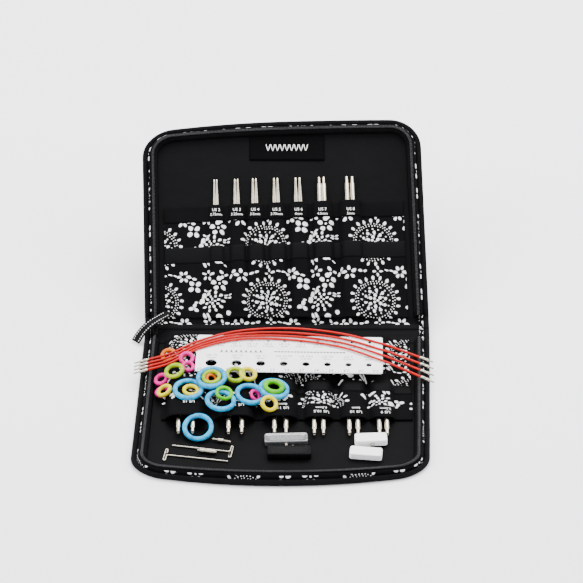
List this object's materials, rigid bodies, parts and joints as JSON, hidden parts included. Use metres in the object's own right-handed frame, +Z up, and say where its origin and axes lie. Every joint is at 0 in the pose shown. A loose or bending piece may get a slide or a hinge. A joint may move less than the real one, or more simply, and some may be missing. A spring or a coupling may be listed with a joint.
{
  "type": "interchangeable knitting needle set",
  "caption": "Open zip-around fabric case holding pairs of metal knitting needle tips in pockets, with cables, a gauge card, stitch markers, keys, connectors and end stoppers.",
  "frame": {"origin": "centre of the lower half's flat underside, where the case rests", "axes": "+X to the user's right, +Y from the front edge to the hinge and the lid, +Z up"},
  "size_m": [0.2614, 0.3696, 0.1111],
  "materials": {
    "print_cotton": "woven cotton, black with a white floral batik print",
    "black_fabric": "matt woven tape and knitted rib",
    "black_plastic": "semi-gloss moulded",
    "white_plastic": "semi-gloss moulded",
    "white_card": "smooth satin sheet",
    "steel": "polished nickel",
    "red_sheath": "translucent red nylon sheath",
    "blue_marker": "pearly mottled plastic",
    "green_marker": "pearly mottled plastic",
    "yellow_marker": "pearly mottled plastic"
  },
  "bodies": {
    "lower_half": {"lower_cover": "print_cotton", "lower_piping": "black_fabric", "lower_gusset": "print_cotton", "lower_zipper_tape": "black_fabric", "lower_pocket_panel": "print_cotton", "lower_pocket_strip": "print_cotton"},
    "spine": {"spine_cover": "print_cotton"},
    "lid": {"lid_cover": "print_cotton", "lid_piping": "black_fabric", "lid_gusset": "print_cotton", "lid_zipper_tape": "black_fabric", "lid_pocket_panel": "print_cotton", "lid_pocket_strip": "print_cotton", "lid_label": "black_fabric"},
    "zipper_slider": {"zipper_slider": "black_plastic"},
    "zipper_pull": {"zipper_puller": "black_plastic", "zipper_ribbon": "black_fabric"},
    "tip_pair_2_75mm": {"tip_pair_2_75mm": "steel"},
    "tip_pair_3_25mm": {"tip_pair_3_25mm": "steel"},
    "tip_pair_3_5mm": {"tip_pair_3_5mm": "steel"},
    "tip_pair_3_75mm": {"tip_pair_3_75mm": "steel"},
    "tip_pair_4mm": {"tip_pair_4mm": "steel"},
    "tip_pair_4_5mm": {"tip_pair_4_5mm": "steel"},
    "tip_pair_5mm": {"tip_pair_5mm": "steel"},
    "tip_pair_5_5mm": {"tip_pair_5_5mm": "steel"},
    "tip_pair_6mm": {"tip_pair_6mm": "steel"},
    "tip_pair_6_5mm": {"tip_pair_6_5mm": "steel"},
    "tip_pair_8mm": {"tip_pair_8mm": "steel"},
    "tip_pair_9mm": {"tip_pair_9mm": "steel"},
    "tip_pair_10mm": {"tip_pair_10mm": "steel"},
    "gauge_card": {"gauge_card": "white_card"},
    "cable_1": {"cable_1": "red_sheath", "cable_1_join_left": "steel", "cable_1_join_right": "steel"},
    "cable_2": {"cable_2": "red_sheath", "cable_2_join_left": "steel", "cable_2_join_right": "steel"},
    "cable_3": {"cable_3": "red_sheath", "cable_3_join_left": "steel", "cable_3_join_right": "steel"},
    "cable_4": {"cable_4": "red_sheath", "cable_4_join_left": "steel", "cable_4_join_right": "steel"},
    "ring_blue_1": {"ring_blue_1": "blue_marker"},
    "ring_blue_2": {"ring_blue_2": "blue_marker"},
    "ring_blue_3": {"ring_blue_3": "blue_marker"},
    "ring_blue_4": {"ring_blue_4": "blue_marker"},
    "ring_blue_5": {"ring_blue_5": "blue_marker"},
    "ring_blue_6": {"ring_blue_6": "blue_marker"},
    "ring_green_1": {"ring_green_1": "green_marker"},
    "ring_green_2": {"ring_green_2": "green_marker"},
    "ring_yellow_1": {"ring_yellow_1": "yellow_marker"},
    "tightening_key_1": {"tightening_key_1": "steel"},
    "tightening_key_2": {"tightening_key_2": "steel"},
    "cable_connector_1": {"cable_connector_1": "steel"},
    "cable_connector_2": {"cable_connector_2": "steel"},
    "end_stopper_black_1": {"end_stopper_black_1": "black_plastic"},
    "end_stopper_black_2": {"end_stopper_black_2": "black_plastic"},
    "end_stopper_white_1": {"end_stopper_white_1": "white_plastic"},
    "end_stopper_white_2": {"end_stopper_white_2": "white_plastic"}
  },
  "joints": [
    {"name": "lid_fold", "type": "hinge", "parent": "spine", "child": "lid", "pos_m": [0, 0.1123, 0.00646], "axis": [1, 0, 0], "range_deg": [-16, 50]},
    {"name": "spine_fold", "type": "hinge", "parent": "lower_half", "child": "spine", "pos_m": [0, 0.095, 0.0015], "axis": [1, 0, 0], "range_deg": [-16, 50], "deforming": ["zipper_ribbon"]},
    {"name": "zipper_travel", "type": "slide", "parent": "lid", "child": "zipper_slider", "axis": [-0.0284, 0.8477, 0.5297], "range_m": [0, 0.12]},
    {"name": "puller_hinge", "type": "hinge", "parent": "zipper_slider", "child": "zipper_pull", "pos_m": [-0.11551, 0.0972, 0.01082], "axis": [0.9063, -0.3584, -0.224], "range_deg": [0, 100]},
    {"name": "tips_2_75mm_slide", "type": "slide", "parent": "lid", "child": "tip_pair_2_75mm", "axis": [-0.028, 0.8477, 0.5297], "range_m": [0, 0.038]},
    {"name": "tips_3_25mm_slide", "type": "slide", "parent": "lid", "child": "tip_pair_3_25mm", "axis": [-0.028, 0.8477, 0.5297], "range_m": [0, 0.038]},
    {"name": "tips_3_5mm_slide", "type": "slide", "parent": "lid", "child": "tip_pair_3_5mm", "axis": [-0.028, 0.8477, 0.5297], "range_m": [0, 0.017]},
    {"name": "tips_3_75mm_slide", "type": "slide", "parent": "lid", "child": "tip_pair_3_75mm", "axis": [-0.028, 0.8477, 0.5297], "range_m": [0, 0.017]},
    {"name": "tips_4mm_slide", "type": "slide", "parent": "lid", "child": "tip_pair_4mm", "axis": [-0.028, 0.8477, 0.5297], "range_m": [0, 0.017]},
    {"name": "tips_4_5mm_slide", "type": "slide", "parent": "lid", "child": "tip_pair_4_5mm", "axis": [-0.028, 0.8477, 0.5297], "range_m": [0, 0.017]},
    {"name": "tips_5mm_slide", "type": "slide", "parent": "lid", "child": "tip_pair_5mm", "axis": [-0.028, 0.8477, 0.5297], "range_m": [0, 0.038]},
    {"name": "tips_5_5mm_slide", "type": "slide", "parent": "lower_half", "child": "tip_pair_5_5mm", "axis": [0, -1, 0], "range_m": [0, 0.001]},
    {"name": "tips_6mm_slide", "type": "slide", "parent": "lower_half", "child": "tip_pair_6mm", "axis": [0, -1, 0], "range_m": [0, 0.0015]},
    {"name": "tips_6_5mm_slide", "type": "slide", "parent": "lower_half", "child": "tip_pair_6_5mm", "axis": [0, -1, 0], "range_m": [0, 0.032]},
    {"name": "tips_8mm_slide", "type": "slide", "parent": "lower_half", "child": "tip_pair_8mm", "axis": [0, -1, 0], "range_m": [0, 0.0007]},
    {"name": "tips_9mm_slide", "type": "slide", "parent": "lower_half", "child": "tip_pair_9mm", "axis": [0, -1, 0], "range_m": [0, 0.015]},
    {"name": "tips_10mm_slide", "type": "slide", "parent": "lower_half", "child": "tip_pair_10mm", "axis": [0, -1, 0], "range_m": [0, 0.003]},
    {"name": "gauge_card_lift", "type": "slide", "parent": "lower_half", "child": "gauge_card", "axis": [0, -0.7001, 0.7141], "range_m": [0, 0.015]},
    {"name": "cable_1_lift", "type": "slide", "parent": "gauge_card", "child": "cable_1", "axis": [0, -0.7001, 0.7141], "range_m": [0, 0.015]},
    {"name": "cable_2_lift", "type": "slide", "parent": "gauge_card", "child": "cable_2", "axis": [0, -0.7001, 0.7141], "range_m": [0, 0.015]},
    {"name": "cable_3_lift", "type": "slide", "parent": "gauge_card", "child": "cable_3", "axis": [0, -0.7001, 0.7141], "range_m": [0, 0.015]},
    {"name": "cable_4_lift", "type": "slide", "parent": "gauge_card", "child": "cable_4", "axis": [0, -0.7001, 0.7141], "range_m": [0, 0.015]},
    {"name": "ring_green_2_lift", "type": "slide", "parent": "gauge_card", "child": "ring_green_2", "axis": [0, 0, 1], "range_m": [0, 0.009]},
    {"name": "ring_blue_2_lift", "type": "slide", "parent": "ring_green_2", "child": "ring_blue_2", "axis": [0, 0, 1], "range_m": [0, 0.009]},
    {"name": "ring_blue_1_lift", "type": "slide", "parent": "ring_blue_2", "child": "ring_blue_1", "axis": [0, 0, 1], "range_m": [0, 0.009]},
    {"name": "ring_blue_4_lift", "type": "slide", "parent": "lower_half", "child": "ring_blue_4", "axis": [0, 0, 1], "range_m": [0, 0.012]},
    {"name": "ring_blue_5_lift", "type": "slide", "parent": "ring_blue_4", "child": "ring_blue_5", "axis": [0, 0, 1], "range_m": [0, 0.012]},
    {"name": "ring_blue_3_lift", "type": "slide", "parent": "lower_half", "child": "ring_blue_3", "axis": [0, 0, 1], "range_m": [0, 0.03]},
    {"name": "ring_blue_6_lift", "type": "slide", "parent": "tip_pair_10mm", "child": "ring_blue_6", "axis": [0, 0, 1], "range_m": [0, 0.03]},
    {"name": "ring_green_1_lift", "type": "slide", "parent": "lower_half", "child": "ring_green_1", "axis": [0, 0, 1], "range_m": [0, 0.012]},
    {"name": "ring_yellow_1_lift", "type": "slide", "parent": "lower_half", "child": "ring_yellow_1", "axis": [0, 0, 1], "range_m": [0, 0.012]},
    {"name": "tightening_key_1_lift", "type": "slide", "parent": "lower_half", "child": "tightening_key_1", "axis": [0, 0, 1], "range_m": [0, 0.03]},
    {"name": "tightening_key_2_lift", "type": "slide", "parent": "lower_half", "child": "tightening_key_2", "axis": [0, 0, 1], "range_m": [0, 0.03]},
    {"name": "cable_connector_1_lift", "type": "slide", "parent": "lower_half", "child": "cable_connector_1", "axis": [0, 0, 1], "range_m": [0, 0.03]},
    {"name": "cable_connector_2_lift", "type": "slide", "parent": "lower_half", "child": "cable_connector_2", "axis": [0, 0, 1], "range_m": [0, 0.03]},
    {"name": "end_stopper_black_1_lift", "type": "slide", "parent": "lower_half", "child": "end_stopper_black_1", "axis": [0, 0, 1], "range_m": [0, 0.03]},
    {"name": "end_stopper_black_2_lift", "type": "slide", "parent": "lower_half", "child": "end_stopper_black_2", "axis": [0, 0, 1], "range_m": [0, 0.03]},
    {"name": "end_stopper_white_1_lift", "type": "slide", "parent": "lower_half", "child": "end_stopper_white_1", "axis": [0, 0, 1], "range_m": [0, 0.03]},
    {"name": "end_stopper_white_2_lift", "type": "slide", "parent": "lower_half", "child": "end_stopper_white_2", "axis": [0, 0, 1], "range_m": [0, 0.03]}
  ],
  "couplings": [
    {"joint": "spine_fold", "follows": "lid_fold", "ratio": 1}
  ]
}
